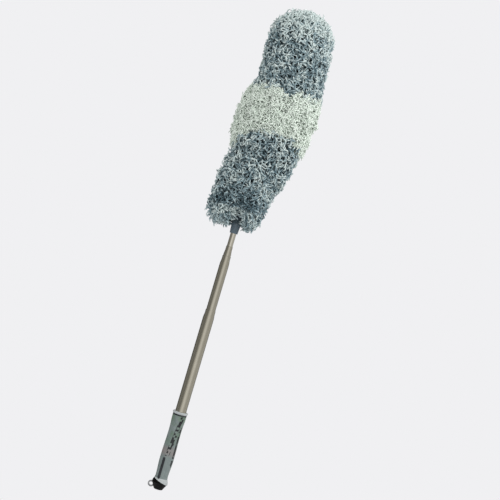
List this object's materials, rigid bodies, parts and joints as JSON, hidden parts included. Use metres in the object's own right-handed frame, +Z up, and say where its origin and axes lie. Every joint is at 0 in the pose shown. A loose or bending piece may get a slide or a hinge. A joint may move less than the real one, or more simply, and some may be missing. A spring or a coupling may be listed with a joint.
{
  "type": "telescopic cobweb duster",
  "caption": "Telescopic steel pole with a printed grip and a hanging tab, carrying a long fluffy banded head on a bendable wire core.",
  "frame": {"origin": "on the pole's axis at the flat under the end cap, where the grip begins", "axes": "+Z up the pole to the head; +X to the side towards which the head leans; +Y to the back, along the hole of the hanging tab"},
  "size_m": [0.1345, 0.1229, 0.8508],
  "materials": {
    "cap_black": "matte",
    "tab_grey": "satin",
    "stainless": "satin",
    "grip_light": "satin",
    "grip_print": "satin",
    "inlay_dark": "matte",
    "nylon": "satin",
    "spring_brass": "satin",
    "ferrule_slate": "satin",
    "elastic": "matte",
    "wire": "satin",
    "foam": "matte",
    "pile_grey": "matte",
    "pile_white": "matte"
  },
  "bodies": {
    "handle": {"end_cap": "cap_black", "hang_pin": "stainless", "outer_tube": "stainless", "grip": "grip_light", "grip_wrap": "grip_print", "grip_inlay": "inlay_dark"},
    "hanger": {"hang_tab": "tab_grey"},
    "bush_2": {"friction_bush_2": "nylon", "bush_spring_2": "spring_brass"},
    "section_2": {"tube_2": "stainless", "tail_plug_2": "nylon"},
    "bush_3": {"friction_bush_3": "nylon", "bush_spring_3": "spring_brass"},
    "section_3": {"tube_3": "stainless", "tail_plug_3": "nylon"},
    "bush_4": {"friction_bush_4": "nylon", "bush_spring_4": "spring_brass"},
    "section_4": {"tube_4": "stainless", "tail_plug_4": "nylon"},
    "head_base": {"ferrule": "ferrule_slate", "sleeve_elastic": "elastic", "wires_root": "wire"},
    "head_lower": {"wires_lower": "wire", "foam_lower": "foam", "pile_lower": "pile_grey"},
    "head_middle": {"wires_middle": "wire", "foam_middle": "foam", "pile_middle": "pile_white"},
    "head_upper": {"wires_upper": "wire", "wire_tip_cap": "nylon", "foam_upper": "foam", "pile_upper": "pile_grey"}
  },
  "joints": [
    {"name": "hang_tab_swing", "type": "hinge", "parent": "handle", "child": "hanger", "pos_m": [-0.0062, 0, 0.0042], "axis": [0, -1, 0], "range_deg": [0, 105]},
    {"name": "tube_2_slide", "type": "slide", "parent": "handle", "child": "bush_2", "axis": [0, 0, 1], "range_m": [-0.0765, 0.178]},
    {"name": "tube_2_turn", "type": "hinge", "parent": "bush_2", "child": "section_2", "pos_m": [0, 0, 0.117], "axis": [0, 0, 1], "continuous": true},
    {"name": "tube_3_slide", "type": "slide", "parent": "section_2", "child": "bush_3", "axis": [0, 0, 1], "range_m": [-0.0095, 0.257]},
    {"name": "tube_3_turn", "type": "hinge", "parent": "bush_3", "child": "section_3", "pos_m": [0, 0, 0.134], "axis": [0, 0, 1], "continuous": true},
    {"name": "tube_4_slide", "type": "slide", "parent": "section_3", "child": "bush_4", "axis": [0, 0, 1], "range_m": [-0.0225, 0.227]},
    {"name": "tube_4_turn", "type": "hinge", "parent": "bush_4", "child": "section_4", "pos_m": [0, 0, 0.181], "axis": [0, 0, 1], "continuous": true},
    {"name": "head_pull_off", "type": "slide", "parent": "section_4", "child": "head_base", "axis": [0, 0, 1], "range_m": [0, 0.026]},
    {"name": "head_bend_root", "type": "hinge", "parent": "head_base", "child": "head_lower", "pos_m": [0, 0, 0.492], "axis": [0, 1, 0], "range_deg": [-35, 35], "deforming": ["foam_lower", "pile_lower"]},
    {"name": "head_bend_lower", "type": "hinge", "parent": "head_lower", "child": "head_middle", "pos_m": [0.00774, 0, 0.60273], "axis": [0, 1, 0], "range_deg": [-35, 35], "deforming": ["foam_middle", "pile_middle"]},
    {"name": "head_bend_upper", "type": "hinge", "parent": "head_middle", "child": "head_upper", "pos_m": [0.01659, 0, 0.71037], "axis": [0, 1, 0], "range_deg": [-35, 35], "deforming": ["foam_upper", "pile_upper"]}
  ]
}
